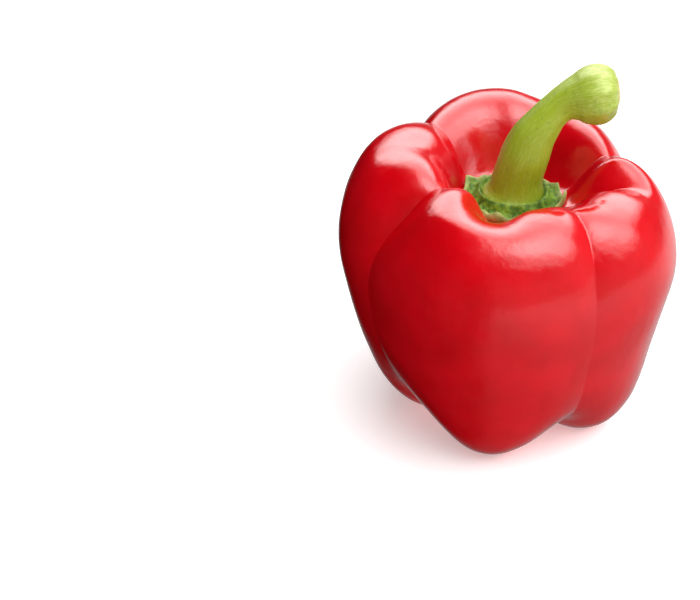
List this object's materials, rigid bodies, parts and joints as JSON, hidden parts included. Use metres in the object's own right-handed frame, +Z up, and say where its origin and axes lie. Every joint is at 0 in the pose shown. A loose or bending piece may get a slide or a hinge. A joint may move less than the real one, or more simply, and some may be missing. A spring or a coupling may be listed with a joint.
{
  "type": "bell pepper",
  "caption": "Whole red bell pepper, blocky and deeply lobed, with a green leafy collar in its well and a thick curved stem.",
  "frame": {"origin": "centre of the bounding box in plan, at the level of the flats under the feet", "axes": "+Z up, from the feet to the stem's knob; -Y is the front, and the stem leans towards +X"},
  "size_m": [0.0896, 0.0902, 0.1045],
  "materials": {
    "pepper_skin": "glossy waxy red skin",
    "calyx_green": "crumpled dark green leaf with pale edges",
    "stem_green": "satin yellow-green, finely ribbed"
  },
  "bodies": {
    "root": {"pepper_fruit": "pepper_skin", "calyx": "calyx_green", "stem": "stem_green"}
  },
  "joints": []
}
